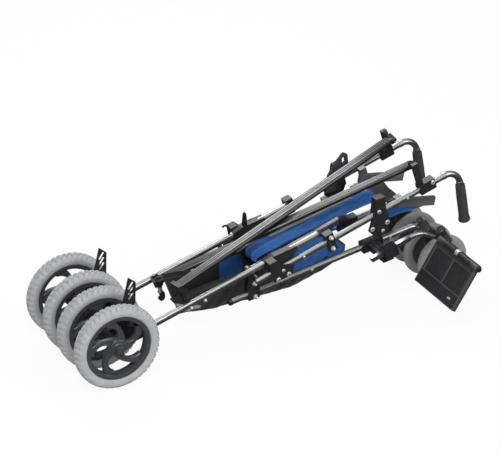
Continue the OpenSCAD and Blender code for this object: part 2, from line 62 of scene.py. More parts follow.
def aim(obj, eye, forward, up):
    """Puts obj at eye with its -Z along forward and its +Y as near to up as it can be."""
    f = forward/np.linalg.norm(forward)
    r = np.cross(f, up)
    r = r/np.linalg.norm(r)
    u = np.cross(r, f)
    m = np.eye(4)
    m[:3, 0], m[:3, 1], m[:3, 2], m[:3, 3] = r, u, -f, eye
    obj.matrix_world = Matrix(m.tolist())


view_az, view_el = np.radians(27.38), np.radians(27.7)
view_distance = 8000
focal_px, photo_width_px, sensor_mm = 2422.9, 500, 36
look = np.array([np.sin(view_az)*np.cos(view_el), np.cos(view_az)*np.cos(view_el), -np.sin(view_el)])
target = np.array([576.84, 0.0, 341.25])
eye = lay(target-view_distance*look)
camera = bpy.data.objects.new("photo_camera", bpy.data.cameras.new("photo_camera"))
bpy.context.scene.collection.objects.link(camera)
camera.data.lens = focal_px/photo_width_px*sensor_mm
camera.data.sensor_width = sensor_mm
camera.data.clip_end = 60
aim(camera, eye, lay(target)-eye, lay([0, 0, 1])-lay([0, 0, 0]))
bpy.context.scene.camera = camera
bpy.context.scene.view_settings.view_transform = "Standard"


def lamp(name, place, at, size, watts):
    """Square soft lamp at a place, turned towards a point."""
    data = bpy.data.lights.new(name, "AREA")
    data.size = size
    data.energy = watts
    obj = bpy.data.objects.new(name, data)
    bpy.context.scene.collection.objects.link(obj)
    aim(obj, np.array(place), np.array(at)-np.array(place), np.array([0.01, 1.0, 0.02]))


lamp("key_lamp", (-1.6, -2.2, 3.4), (0, 0, 0.2), 1.6, 92)
lamp("fill_lamp", (2.4, -2.6, 2.0), (0.2, 0, 0.2), 1.8, 40)
lamp("back_lamp", (0.6, 2.8, 3.0), (0.1, 0, 0.2), 1.4, 50)


def calc(t, operation, *values):
    """Math node fed by sockets or plain numbers, in order; returns its output socket."""
    n = t.nodes.new("ShaderNodeMath")
    n.operation = operation
    for place, value in enumerate(values):
        if isinstance(value, bpy.types.NodeSocket):
            t.links.new(value, n.inputs[place])
        else:
            n.inputs[place].default_value = value
    return n.outputs[0]


def glow(t, colour, strength):
    """Background shader of one colour and strength."""
    n = t.nodes.new("ShaderNodeBackground")
    n.inputs["Color"].default_value = (*colour, 1)
    n.inputs["Strength"].default_value = strength
    return n


def shader_mix(t, share, a, b):
    """Shader a where share is 0, and shader b where it is 1."""
    n = t.nodes.new("ShaderNodeMixShader")
    t.links.new(share, n.inputs["Fac"])
    t.links.new(a.outputs[0], n.inputs[1])
    t.links.new(b.outputs[0], n.inputs[2])
    return n


world = bpy.data.worlds.new("studio_air")
bpy.context.scene.world = world
world.use_nodes = True
air = world.node_tree
air.nodes.clear()
air_soft = glow(air, (0.96, 0.98, 1.0), 0.45)
air_room = glow(air, (1, 1, 1), 1.0)
air_white = glow(air, (1, 1, 1), 1.0)
air_way = air.nodes.new("ShaderNodeTexCoord")
air_axes = air.nodes.new("ShaderNodeSeparateXYZ")
air_height = air.nodes.new("ShaderNodeMapRange")
for socket, value in (("From Min", 0.35), ("From Max", 0.95), ("To Min", 0.07), ("To Max", 0.85)):
    air_height.inputs[socket].default_value = value
air.links.new(air_way.outputs["Generated"], air_axes.inputs[0])
air.links.new(air_axes.outputs["Z"], air_height.inputs["Value"])
air.links.new(air_height.outputs[0], air_room.inputs["Strength"])
air_ray = air.nodes.new("ShaderNodeLightPath")
air_shine = shader_mix(air, air_ray.outputs["Is Glossy Ray"], air_soft, air_room)
air_seen = shader_mix(air, air_ray.outputs["Is Camera Ray"], air_shine, air_white)
air_out = air.nodes.new("ShaderNodeOutputWorld")
air.links.new(air_seen.outputs[0], air_out.inputs["Surface"])

floor_half, floor_z = 30, -0.0005
floor_mesh = bpy.data.meshes.new("floor")
floor_corners = [(x*floor_half, y*floor_half, floor_z) for x, y in ((-1, -1), (1, -1), (1, 1), (-1, 1))]
floor_mesh.from_pydata(floor_corners, [], [(0, 1, 2, 3)])
floor = bpy.data.objects.new("floor", floor_mesh)
bpy.context.scene.collection.objects.link(floor)
pale = bpy.data.materials.new("pale_floor")
pale.use_nodes = True
ground = pale.node_tree
ground.nodes.clear()
ground_matt = ground.nodes.new("ShaderNodeBsdfDiffuse")
ground_matt.inputs["Color"].default_value = (0.80, 0.80, 0.80, 1)
ground_white = ground.nodes.new("ShaderNodeEmission")
ground_white.inputs["Color"].default_value = (1, 1, 1, 1)
ground_ray = ground.nodes.new("ShaderNodeLightPath")
ground_share = calc(ground, "MULTIPLY", ground_ray.outputs["Is Camera Ray"], 0.93)
ground_mix = shader_mix(ground, ground_share, ground_matt, ground_white)
ground_out = ground.nodes.new("ShaderNodeOutputMaterial")
ground.links.new(ground_mix.outputs[0], ground_out.inputs["Surface"])
floor_mesh.materials.append(pale)
floor.visible_glossy = False


# Rear tyres: four foamed polyurethane tyres, pale grey, pressed over the rims.
# Three rows of rounded tread blocks run round each, staggered, over smooth rounded sidewalls.
def patch_faces(m, n, wrap_u, wrap_v):
    """Quads on an m by n grid and their UVs; a wrapped side joins its last row to its first."""
    big_m, big_n = (m if wrap_u else m-1), (n if wrap_v else n-1)
    iu, jv = np.meshgrid(np.arange(big_m), np.arange(big_n), indexing="ij")
    corner = [(iu, jv), (iu+1, jv), (iu+1, jv+1), (iu, jv+1)]
    quads = np.stack([(a % m)*n+(b % n) for a, b in corner], -1).reshape(-1, 4)
    uv = np.stack([np.stack([a/big_m, b/big_n], -1) for a, b in corner], 2).reshape(-1, 2)
    return quads, uv


def make_piece(name, patches, flat_angle=38.0):
    """One mesh from patches (points in layout mm, wrap_u, wrap_v), merged, with normals turned out."""
    points, quads, uvs, start = [], [], [], 0
    for p, wu, wv in patches:
        q, uv = patch_faces(p.shape[0], p.shape[1], wu, wv)
        points.append(lay(p).reshape(-1, 3))
        quads.append(q+start)
        uvs.append(uv)
        start += p.shape[0]*p.shape[1]
    mesh = bpy.data.meshes.new(name)
    mesh.from_pydata(np.concatenate(points), [], np.concatenate(quads).tolist())
    layer = mesh.uv_layers.new(name="UVMap")
    layer.data.foreach_set("uv", np.concatenate(uvs).astype(np.float32).ravel())
    bm = bmesh.new()
    bm.from_mesh(mesh)
    merge_m, sliver_m = 2e-6, 1e-7
    bmesh.ops.remove_doubles(bm, verts=bm.verts, dist=merge_m)
    bmesh.ops.dissolve_degenerate(bm, edges=bm.edges, dist=sliver_m)
    bmesh.ops.recalc_face_normals(bm, faces=bm.faces)
    for f in bm.faces:
        f.smooth = True
    for e in bm.edges:
        e.smooth = len(e.link_faces) != 2 or e.calc_face_angle(0.0) < np.radians(flat_angle)
    bm.to_mesh(mesh)
    bm.free()
    obj = bpy.data.objects.new(name, mesh)
    bpy.context.scene.collection.objects.link(obj)
    return obj


def settle(piece, finish, body, stands_for=None):
    """Gives a rigid piece its finish, the body it rides on and any solid that it stands for."""
    piece.data.materials.append(finish)
    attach(piece, body)
    if stands_for is not None:
        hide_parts(stands_for)


def turned(profile, centre, count, wobble=None):
    """Profile (radius, Y) turned about the Y line through centre; wobble(angle, radius, Y) adds to it."""
    angle = np.linspace(0, 2*np.pi, count, endpoint=False)[:, None]
    r, y = np.asarray(profile, float).T
    r = np.broadcast_to(r, (count, len(r)))
    y = np.broadcast_to(y, r.shape)
    if wobble is not None:
        r = r+wobble(angle, r, y)
    return np.stack([centre[0]+r*np.cos(angle), centre[1]+y, centre[2]+r*np.sin(angle)], -1)


def new_finish(name):
    """Empty node material with its Principled shader and a texture coordinate node."""
    m = bpy.data.materials.new(name)
    m.use_nodes = True
    t = m.node_tree
    return m, t, t.nodes["Principled BSDF"], t.nodes.new("ShaderNodeTexCoord")


def noise(t, vector, scale, detail=4.0, rough=0.55, stretch=(1, 1, 1), turn=(0, 0, 0)):
    """Noise texture on a coordinate, stretched and turned by a Mapping node; returns its value socket."""
    place = t.nodes.new("ShaderNodeMapping")
    place.inputs["Scale"].default_value = stretch
    place.inputs["Rotation"].default_value = turn
    t.links.new(vector, place.inputs["Vector"])
    n = t.nodes.new("ShaderNodeTexNoise")
    n.inputs["Scale"].default_value = scale
    n.inputs["Detail"].default_value = detail
    n.inputs["Roughness"].default_value = rough
    t.links.new(place.outputs[0], n.inputs["Vector"])
    return n.outputs["Fac"]


def ramp(t, value, low, high, a, b):
    """Colour ramp from colour a at low to colour b at high."""
    r = t.nodes.new("ShaderNodeValToRGB")
    r.color_ramp.elements[0].position = low
    r.color_ramp.elements[1].position = high
    r.color_ramp.elements[0].color = (*a, 1)
    r.color_ramp.elements[1].color = (*b, 1)
    t.links.new(value, r.inputs["Fac"])
    return r.outputs["Color"]


def span(t, value, low, high):
    """Maps a 0 to 1 value to low to high."""
    n = t.nodes.new("ShaderNodeMapRange")
    n.inputs["To Min"].default_value = low
    n.inputs["To Max"].default_value = high
    t.links.new(value, n.inputs["Value"])
    return n.outputs[0]


def tint(t, share, under, over):
    """Lays a plain colour over a colour socket by a share from 0 to 1."""
    n = t.nodes.new("ShaderNodeMix")
    n.data_type = "RGBA"
    n.inputs["B"].default_value = (*over, 1)
    t.links.new(share, n.inputs["Factor"])
    t.links.new(under, n.inputs["A"])
    return n.outputs["Result"]


def raise_bump(t, shader, value, strength, depth, below=None):
    """Bump from a height value, on top of an earlier bump where there is one."""
    b = t.nodes.new("ShaderNodeBump")
    b.inputs["Strength"].default_value = strength
    b.inputs["Distance"].default_value = depth
    t.links.new(value, b.inputs["Height"])
    if below is not None:
        t.links.new(below, b.inputs["Normal"])
    t.links.new(b.outputs[0], shader.inputs["Normal"])
    return b.outputs[0]


def speckled(name, dark, light, grain, rough, bump, metal=0.0, level=0.5, stretch=(1, 1, 1)):
    """Moulded or rolled surface: coarse and fine noise mix two near colours and set gloss and bump."""
    m, t, s, tc = new_finish(name)
    coarse = noise(t, tc.outputs["Object"], grain*0.12, 3.0, 0.6, stretch)
    fine = noise(t, tc.outputs["Object"], grain, 5.0, 0.6, stretch)
    both = calc(t, "MULTIPLY_ADD", coarse, 0.5, calc(t, "MULTIPLY", fine, 0.5))
    t.links.new(ramp(t, both, 0.32, 0.68, dark, light), s.inputs["Base Color"])
    t.links.new(span(t, coarse, rough[0], rough[1]), s.inputs["Roughness"])
    s.inputs["Metallic"].default_value = metal
    s.inputs["Specular IOR Level"].default_value = level
    raise_bump(t, s, fine, bump, 0.0006)
    return m


tyre_grey = speckled("pale_tyre", (0.35, 0.35, 0.355), (0.49, 0.49, 0.495), 420, (0.5, 0.7), 0.45, level=0.4)
bed_r, bed_y = 112.0, 17.0
tyre_half = [(bed_r, bed_y), (114.0, 20.5), (118.0, 23.2), (123.0, 24.6), (128.0, 25.0), (132.0, 24.6),
             (135.5, 23.4), (138.5, 21.4), (141.0, 18.9), (142.9, 16.0), (144.3, 13.0), (145.2, 10.0),
             (145.7, 7.2), (145.9, 4.6), (146.0, 2.2)]
tyre_line = np.array(tyre_half+[(146.0, 0.0)]+[(r, -y) for r, y in tyre_half[::-1]])
tyre_run = np.concatenate([[0], np.cumsum(np.hypot(*np.diff(tyre_line, axis=0).T))])
even_run = np.linspace(0, 1, 78)*tyre_run[-1]
tyre_line = np.stack([np.interp(even_run, tyre_run, tyre_line[:, k]) for k in (0, 1)], -1)
blocks = 44
row_pitch = 11.0
tread_depth = 4.2


def tread(angle, r, y):
    """The surface drops between blocks and between the three rows; the sidewall stays smooth."""
    row = np.clip(np.round(y/row_pitch), -1, 1)
    across = np.abs(y-row*row_pitch)/(row_pitch/2)
    shift = np.where(row == 0, 0.5, 0.0)+0.02*y
    along = np.abs(np.mod(angle*blocks/(2*np.pi)+shift, 1.0)-0.5)*2
    edge = np.clip((along-0.62)/0.2, 0, 1)
    rowgap = np.where(np.abs(y) < row_pitch, np.clip((across-0.66)/0.26, 0, 1), 0)
    drop = np.maximum(edge*edge*(3-2*edge), rowgap*rowgap*(3-2*rowgap))
    high = np.clip((r-131.5)/8.0, 0, 1)
    return -tread_depth*drop*high


rear_wheels = (("near_outer", -193.0, "n_", "out"), ("near_inner", -57.0, "n_", "in"),
               ("far_outer", 193.0, "f_", "out"), ("far_inner", 57.0, "f_", "in"))
for side, y, prefix, place in rear_wheels:
    hub_middle = (0.0, y, AXLE_Z)
    skin = turned(tyre_line, hub_middle, blocks*9, tread)
    bed = turned([(bed_r, -bed_y), (bed_r, 0.0), (bed_r, bed_y)], hub_middle, blocks*9)
    tyre = make_piece("tyre_"+side, [(skin, True, False), (bed, True, False)])
    settle(tyre, tyre_grey, side+"_wheel", prefix+"tyre_"+place)


# Rear rims: glass-filled charcoal plastic wheels with five swirled spokes, hollow behind,
# moulded in one with a deep rim bed and a hub that turns on the steel axle.
charcoal = speckled("charcoal_rim", (0.040, 0.041, 0.044), (0.064, 0.065, 0.069), 900, (0.26, 0.4), 0.15,
                    level=0.55)
rim_ring = [(97.5, -15.0), (99.5, -16.4), (104.0, -17.2), (111.0, -17.4), (112.0, -16.0), (112.0, 0.0),
            (112.0, 16.0), (111.0, 17.4), (104.0, 17.2), (99.5, 16.4), (97.5, 15.0), (97.0, 9.0),
            (94.5, 3.0), (94.5, -3.0), (97.0, -9.0)]
hub_ring = [(6.1, -21.0), (17.0, -21.0), (19.0, -19.4), (20.5, -16.5), (27.0, -15.0), (29.5, -12.0),
            (30.0, 0.0), (29.5, 12.0), (27.0, 15.0), (20.5, 16.5), (19.0, 19.4), (17.0, 21.0),
            (6.1, 21.0), (6.1, 0.0)]
spokes = 5
spoke_from, spoke_long = 22, 78
spoke_swing = np.radians(46)


def swirl_spoke(y, k):
    """Rounded bar whose centre line swings back as it runs from the hub to the rim, wider at both ends."""
    t = np.linspace(0, 1, 26)[:, None]
    turn = np.linspace(0, 2*np.pi, 28, endpoint=False)[None, :]
    r = spoke_from+spoke_long*t
    a = np.radians(360/spokes*k)+spoke_swing*(t**1.25)-np.radians(8)
    wide = 9.5+11.0*(2*t-1)**2-1.0*t
    deep = 11.0+2.4*(2*t-1)**2
    cu, su = np.cos(turn), np.sin(turn)
    u = wide*np.sign(cu)*np.abs(cu)**0.62
    v = deep*np.sign(su)*np.abs(su)**0.62
    dip = 3.2*np.clip(1-np.abs(u)/(0.72*wide), 0, 1)**0.5
    v = np.where(np.abs(su) > 0.6, v-np.sign(v)*dip, v)
    slope = np.arctan2(r*spoke_swing*1.25*np.maximum(t, 1e-3)**0.25, float(spoke_long))
    px = r*np.cos(a)-u*np.sin(a+slope)
    pz = r*np.sin(a)+u*np.cos(a+slope)
    return np.stack([px, y+v, AXLE_Z+pz], -1)


for side, y, prefix, place in rear_wheels:
    hub_middle = (0.0, y, AXLE_Z)
    parts = [(turned(rim_ring, hub_middle, 180), True, True), (turned(hub_ring, hub_middle, 96), True, True)]
    parts += [(swirl_spoke(y, k), False, True) for k in range(spokes)]
    settle(make_piece("rim_"+side, parts), charcoal, side+"_wheel", prefix+"rim_"+place)


# Tubes, axles and rods: drawn aluminium tube and bright steel rod, polished along their length.
# The solids are the real shapes, so they take the finish as they are.
def drawn_metal(name, dark, light, rough, scratch):
    """Polished metal with long fine drawing lines along X and faint handling marks."""
    m, t, s, tc = new_finish(name)
    lines = noise(t, tc.outputs["Object"], 260, 3.0, 0.6, (0.03, 1.0, 1.0), (0, np.radians(14), 0))
    marks = noise(t, tc.outputs["Object"], 9, 4.0, 0.65)
    t.links.new(ramp(t, marks, 0.3, 0.7, dark, light), s.inputs["Base Color"])
    t.links.new(span(t, lines, rough[0], rough[1]), s.inputs["Roughness"])
    s.inputs["Metallic"].default_value = 1.0
    raise_bump(t, s, lines, scratch, 0.0003)
    return m


def dress(finish, *names):
    """Gives CAD nodes a finish in place of their plain colour."""
    for n in names:
        nodes[n].data.materials.clear()
        nodes[n].data.materials.append(finish)


def tube_line(x0, z0, slope):
    """Height of a tube's centre line at x, from one point on it and its slope."""
    return lambda x: z0+(x-x0)*slope


CANE_TILT, LEG_TILT, FRONT_TILT, HANGER_TILT = 17.74, 16.92, 9.41, 18
front_end = (455, 134)
cane_z = tube_line(538, 223, np.tan(np.radians(CANE_TILT)))
rail_z = tube_line(538, 223, 0.32)
leg_z = tube_line(66, 110.4, np.tan(np.radians(LEG_TILT)))
front_z = tube_line(*front_end, np.tan(np.radians(FRONT_TILT)))
hanger_z = tube_line(990, 256, np.tan(np.radians(HANGER_TILT)))
bright_tube = drawn_metal("bright_tube", (0.39, 0.39, 0.395), (0.49, 0.49, 0.495), (0.28, 0.35), 0.012)
for q in ("n_", "f_"):
    dress(bright_tube, q+"axle", q+"rear_leg", q+"cane", q+"front_leg", q+"hanger", q+"seat_rail")


# Black fittings: glass-filled nylon brackets, clamps, brake pedals and caster forks,
# with the fine matt grain of a spark-eroded mould. The back stays are rolled grey strip.
black_nylon = speckled("black_nylon", (0.012, 0.012, 0.013), (0.024, 0.024, 0.026), 1500, (0.30, 0.46), 0.2)
for q in ("n_", "f_"):
    dress(black_nylon, q+"carrier", q+"y_bracket", q+"brake", q+"cane_hub", q+"cane_clamp",
          q+"handle_bracket", q+"lower_clamp", q+"socket", q+"caster_fork")
dress(black_nylon, "bar_over_caps", "bar_under_caps", "swing_bracket")
dress(charcoal, "lock_lever")
grey_rail = speckled("grey_rail", (0.11, 0.11, 0.11), (0.19, 0.19, 0.19), 420, (0.32, 0.46), 0.12,
                     metal=0.35, stretch=(0.06, 1, 1))
dress(grey_rail, "n_back_stay", "f_back_stay")


# Casters: two pairs of solid grey rubber wheels on dark plastic hubs with six ribs a side,
# each pair on one cross axle under a swivelling fork.
caster_rubber = speckled("caster_rubber", (0.21, 0.21, 0.21), (0.31, 0.31, 0.31), 700, (0.55, 0.75), 0.5,
                         level=0.3)
caster_x, caster_z = 1240.0, 124.0
caster_half = [(64.0, 8.6), (66.5, 10.4), (70.0, 11.4), (76.0, 11.9), (83.0, 12.0), (87.0, 11.2), (90.4, 9.6),
               (92.8, 7.4), (94.3, 4.9), (94.9, 2.4)]
caster_line = caster_half+[(95.0, 0.0)]+[(r, -y) for r, y in caster_half[::-1]]+[(64.0, 0.0)]
caster_hub_half = [(5.2, 12.0), (13.0, 12.0), (15.5, 11.2), (17.0, 9.0), (19.0, 5.2), (26.0, 4.2),
                   (50.0, 4.2), (54.5, 5.6), (57.0, 8.8), (63.9, 9.4)]
caster_hub = [(r, -y) for r, y in caster_hub_half]+caster_hub_half[::-1]+[(5.2, 0.0)]
ribs = 6


def spoke_rib(centre, angle, r0, r1, wide, deep):
    """Radial rib with a rounded section that tapers to the rim, standing out on both faces of the web."""
    t = np.linspace(0, 1, 10)[:, None]
    turn = np.linspace(0, 2*np.pi, 16, endpoint=False)[None, :]
    cu, su = np.cos(turn), np.sin(turn)
    end = np.where((t == 0) | (t == 1), 0.0, 1.0)
    r = r0+(r1-r0)*t
    u = end*wide*(1-0.25*t)*np.sign(cu)*np.abs(cu)**0.6
    v = end*deep*(1-0.15*t)*np.sign(su)*np.abs(su)**0.6
    px = centre[0]+r*np.cos(angle)-u*np.sin(angle)
    pz = centre[2]+r*np.sin(angle)+u*np.cos(angle)
    return np.stack([px, centre[1]+v, pz], -1)


for side, body, y, node in (("near_outer", "near_caster_outer", -142.0, "n_caster_out"),
                            ("near_inner", "near_caster_inner", -48.0, "n_caster_in"),
                            ("far_outer", "far_caster_outer", 142.0, "f_caster_out"),
                            ("far_inner", "far_caster_inner", 48.0, "f_caster_in")):
    middle = (caster_x, y, caster_z)
    band = make_piece("caster_tyre_"+side, [(turned(caster_line, middle, 128), True, True)])
    settle(band, caster_rubber, body, node)
    parts = [(turned(caster_hub, middle, 96), True, True)]
    for k in range(ribs):
        parts.append((spoke_rib(middle, np.radians(360/ribs*k+12), 14.0, 58.0, 4.0, 8.0), False, True))
    settle(make_piece("caster_hub_"+side, parts), charcoal, body)


# Brace bars: flat oval extrusions in grey anodised aluminium, with three shallow drawing grooves
# along each broad face. They cross over the folded frame and swing on slanted pins at their upper ends.
over_lo, over_hi = np.array([268.0, -92.0, 248.0]), np.array([1158.0, 104.0, 486.0])
under_lo, under_hi = np.array([268.0, 74.0, 184.0]), np.array([1112.0, -100.0, 490.0])
bar_width, bar_thick = 40.0, 18.0
face_points, edge_points = 46, 13


def oval_section(width, thick):
    """Stadium outline: broad faces with three grooves 0.9 mm deep, joined by half-round edges."""
    h, reach = thick/2, (width-thick)/2
    a = np.linspace(reach, -reach, face_points)
    grooves = [np.clip(1-np.abs(a-c)/1.5, 0, 1) for c in (-reach*0.62, 0.0, reach*0.62)]
    groove = 0.9*np.max(np.stack(grooves), 0)
    arc = np.linspace(np.pi/2, 3*np.pi/2, edge_points+2)[1:-1]
    top = np.stack([a, h-groove], -1)
    left = np.stack([-reach+h*np.cos(arc), h*np.sin(arc)], -1)
    low = np.stack([-a, -h+groove[::-1]], -1)
    right = np.stack([reach-h*np.cos(arc), -h*np.sin(arc)], -1)
    return np.concatenate([top, left, low, right])


def extruded(p, q, outline):
    """Outline (across, up) carried from p to q with its broad face up, closed at both ends."""
    u = (q-p)/np.linalg.norm(q-p)
    across = np.array([-u[1], u[0], 0.0])/np.hypot(u[0], u[1])
    up = np.cross(u, across)
    along = np.array([0.0, 0.0, 0.0012, 0.25, 0.5, 0.75, 0.9988, 1.0, 1.0])
    grow = np.array([0.0, 0.96, 1.0, 1.0, 1.0, 1.0, 1.0, 0.96, 0.0])
    line = p+(q-p)*along[:, None]
    ring = outline[None, :, 0:1]*across+outline[None, :, 1:2]*up
    return line[:, None, :]+ring*grow[:, None, None]


def striped_highlight_metal(name, dark, light, highlight_colour):
    """Drawn metal with painted highlights on the ridges: bright stripes by the place round the section,
    broken up by noise.
    """
    m = drawn_metal(name, dark, light, (0.32, 0.44), 0.06)
    t = m.node_tree
    base = t.nodes["Principled BSDF"].inputs["Base Color"]
    tc = t.nodes.new("ShaderNodeTexCoord")
    axes = t.nodes.new("ShaderNodeSeparateXYZ")
    t.links.new(tc.outputs["UV"], axes.inputs[0])
    half_way = calc(t, "FRACT", calc(t, "MULTIPLY", axes.outputs["Y"], 2.0))
    stripes = t.nodes.new("ShaderNodeValToRGB")
    stops = stripes.color_ramp.elements
    stops[0].position, stops[1].position = 0.0, 1.0
    stops[0].color = stops[1].color = (0, 0, 0, 1)
    for middle in (4.5, 22.5, 40.5):
        for offset, level in ((-4.0, 0.0), (-2.0, 1.0), (2.0, 1.0), (4.0, 0.0)):
            stops.new((middle+offset)/(face_points+edge_points)).color = (level, level, level, 1)
    t.links.new(half_way, stripes.inputs["Fac"])
    highlight_patchiness = span(t, noise(t, tc.outputs["Object"], 30, 3.0, 0.6), 0.55, 1.0)
    # Painted highlight: the stripes lighten the base colour towards the given pale grey.
    painted_highlight_share = calc(t, "MULTIPLY", stripes.outputs["Color"], highlight_patchiness)
    t.links.new(tint(t, painted_highlight_share, base.links[0].from_socket, highlight_colour), base)
    return m


# Grey anodised bars, with painted highlight stripes in pale grey along the grooves.
anodised = striped_highlight_metal("anodised_bar", (0.074, 0.074, 0.075), (0.114, 0.114, 0.114), (0.32, 0.32, 0.32))
for node, body, p, q in (("bar_over", "over_bar", over_lo, over_hi),
                         ("bar_under", "under_bar", under_lo, under_hi)):
    bar = make_piece(node+"_oval", [(extruded(p, q, oval_section(bar_width, bar_thick)), False, True)])
    settle(bar, anodised, body, node)


# Grips: soft black foam sleeves pushed over the handle ends, a little fuller in the palm
# and flared into a thick closed rim at the bottom.
foam = speckled("black_foam", (0.028, 0.028, 0.028), (0.052, 0.052, 0.052), 1100, (0.78, 0.92), 0.7,
                level=0.3)


def lathe_on(start, direction, lengths, radii, count):
    """Radii at lengths along a direction in the side view, turned about that line."""
    d = np.array([direction[0], 0.0, direction[1]])
    e = np.array([-direction[1], 0.0, direction[0]])
    f = np.array([0.0, 1.0, 0.0])
    a = np.linspace(0, 2*np.pi, count, endpoint=False)
    ring = np.cos(a)[None, :, None]*e+np.sin(a)[None, :, None]*f
    return np.asarray(start)+np.asarray(lengths)[:, None, None]*d+np.asarray(radii)[:, None, None]*ring


cane_y, cane_end_x, bend_r = 141.0, 1234, 50
cane_turn, grip_turn = np.radians(CANE_TILT), np.radians(9.74)
grip_way = (np.sin(grip_turn), -np.cos(grip_turn))
grip_x = cane_end_x+bend_r*np.sin(cane_turn)+bend_r*np.cos(grip_turn)
grip_z = cane_z(cane_end_x)-bend_r*np.cos(cane_turn)+bend_r*np.sin(grip_turn)
grip_len = np.array([7.0, 7.0, 8.2, 10.5, 20.0, 45.0, 75.0, 105.0, 128.0, 138.0, 143.0, 147.0, 150.5, 152.4,
                     153.0, 153.0])
grip_rad = np.array([11.2, 14.2, 15.8, 16.6, 16.9, 17.4, 17.8, 17.6, 17.8, 19.0, 20.4, 20.8, 19.6, 17.0,
                     13.0, 0.0])
for side, y in (("near", -cane_y), ("far", cane_y)):
    sleeve = lathe_on(np.array([grip_x, y, grip_z]), grip_way, grip_len, grip_rad, 56)
    grip = make_piece("foam_grip_"+side, [(sleeve, False, True)])
    settle(grip, foam, side+"_cane", side[0]+"_grip")


# Footplate: one black moulding with a raised border, two sunk pockets with a rib between them and
# a flat toe strip, hung by its rolled edge from the hinge rod. It has a spring clip on the roll
# and small feet moulded on the strip.
plate_turn = np.radians(237.6)
plate_way = np.array([np.cos(plate_turn), 0.0, np.sin(plate_turn)])
plate_face = np.array([np.sin(plate_turn), 0.0, -np.cos(plate_turn)])
plate_across = np.array([0.0, 1.0, 0.0])
barrel = np.array([1178.0, 0.0, 259.0])
plate_out, plate_in, plate_rib = -460.6, -224.6, -342.6
plate_root, plate_end = 9.0, 162.0
plate_under = 6.0
pocket_wall, pocket_rib, pocket_from, pocket_to, chamfer = 13.0, 6.5, 26.0, 110.0, 1.6
# Where the painted highlight lines lie along the raised edges of the footplate.
highlight_wall, highlight_rib, highlight_from, highlight_to = 10.8, 4.6, 24.0, 112.0
plate_y = np.linspace(plate_out, plate_in, 160)
plate_s = np.concatenate([[plate_root], np.linspace(plate_root, plate_end, 110), [plate_end]])


def tread_height(s, y):
    """Height of the visible face: pockets about 6 mm deep up to the strip, their floors finely lined."""
    side = np.minimum(y-plate_out, plate_in-y)
    wall = np.clip((pocket_wall-side)/chamfer, 0, 1)
    rib = np.clip((pocket_rib-np.abs(y-plate_rib))/chamfer, 0, 1)
    band = np.clip((pocket_from-s)/chamfer, 0, 1)
    strip = np.clip((s-pocket_to)/chamfer, 0, 1)
    top = np.maximum.reduce([wall, rib, np.broadcast_to(band, y.shape), np.broadcast_to(strip, y.shape)])
    edge = np.minimum(side, plate_end-s)
    lip = 0.9*np.clip((4.0-edge)/1.2, 0, 1)
    groove = -0.8*np.clip(1-np.abs(s-136.0)/1.3, 0, 1)*np.clip((side-16.0)/2.0, 0, 1)
    lines = 0.3*np.clip(np.sin(s*1.7), -0.2, 0.8)
    return 5.4+5.8*top+lip+groove+lines*(1-top)


face_y = plate_y[None, :]+0*plate_s[:, None]
face_s = plate_s[:, None]+0*plate_y[None, :]
plate_plane = barrel+face_s[..., None]*plate_way+face_y[..., None]*plate_across
plate_front = plate_plane+tread_height(face_s, face_y)[..., None]*plate_face
plate_rear = plate_plane-plate_under*plate_face
plate_loop = np.concatenate([plate_front, plate_rear[:, ::-1]], 1)
plate_loop[0] = plate_loop[0].mean(0)
plate_loop[-1] = plate_loop[-1].mean(0)
roll = [(6.3, -462.3), (11.6, -462.3), (13.0, -460.7), (13.0, -418.0), (12.3, -417.0), (12.3, -411.0),
        (13.0, -410.0), (13.0, -275.0), (12.3, -274.0), (12.3, -268.0), (13.0, -267.0), (13.0, -224.6),
        (11.6, -222.9), (6.3, -222.9), (6.3, -342.0)]
plate = make_piece("footplate_moulding", [(plate_loop, False, True), (turned(roll, barrel, 48), True, True)],
                   flat_angle=30)
plate_black = speckled("footplate_black", (0.016, 0.016, 0.017), (0.036, 0.036, 0.037), 620, (0.34, 0.5), 0.4)
# Painted highlight: a pale grey is tinted into the colour near the top edges of the border, the rib and the
# strip, for edges catching the light.
corner = np.empty(len(plate.data.vertices)*3, np.float32)
plate.data.vertices.foreach_get("co", corner)
corner = corner.reshape(-1, 3)*1000-lay(barrel)*1000
turn_way, turn_face = [(lay(v)-lay([0, 0, 0]))*1000 for v in (plate_way, plate_face)]
edge_s, edge_h, edge_y = corner@turn_way, corner@turn_face, corner[:, 1]
edge_side = np.minimum(edge_y-plate_out, plate_in-edge_y)
in_pockets = (edge_s > highlight_from) & (edge_s < highlight_to)
pocket_sides = [np.abs(edge_side-highlight_wall), np.abs(np.abs(edge_y-plate_rib)-highlight_rib)]
no_highlight, highlight_inset, highlight_reach = 99.0, 0.6, 2.0
rims = np.stack([np.where(in_pockets, d, no_highlight) for d in pocket_sides]
                + [np.abs(edge_s-d) for d in (highlight_from, highlight_to, plate_end-highlight_inset)]
                + [np.abs(edge_side-highlight_inset)])
painted_edge_highlight = np.where(edge_h > 8.0, np.exp(-(rims.min(0)/highlight_reach)**2), 0.0).astype(np.float32)
plate.data.attributes.new("painted_edge_highlight", "FLOAT", "POINT").data.foreach_set("value", painted_edge_highlight)
plate_tree = plate_black.node_tree
plate_base = plate_tree.nodes["Principled BSDF"].inputs["Base Color"]
plate_edge_highlight = plate_tree.nodes.new("ShaderNodeAttribute")
plate_edge_highlight.attribute_name = "painted_edge_highlight"
edge_highlight_grey = (0.085, 0.085, 0.085)
plate_tint = tint(plate_tree, plate_edge_highlight.outputs["Fac"], plate_base.links[0].from_socket, edge_highlight_grey)
plate_tree.links.new(plate_tint, plate_base)
settle(plate, plate_black, "footplate", "footplate")


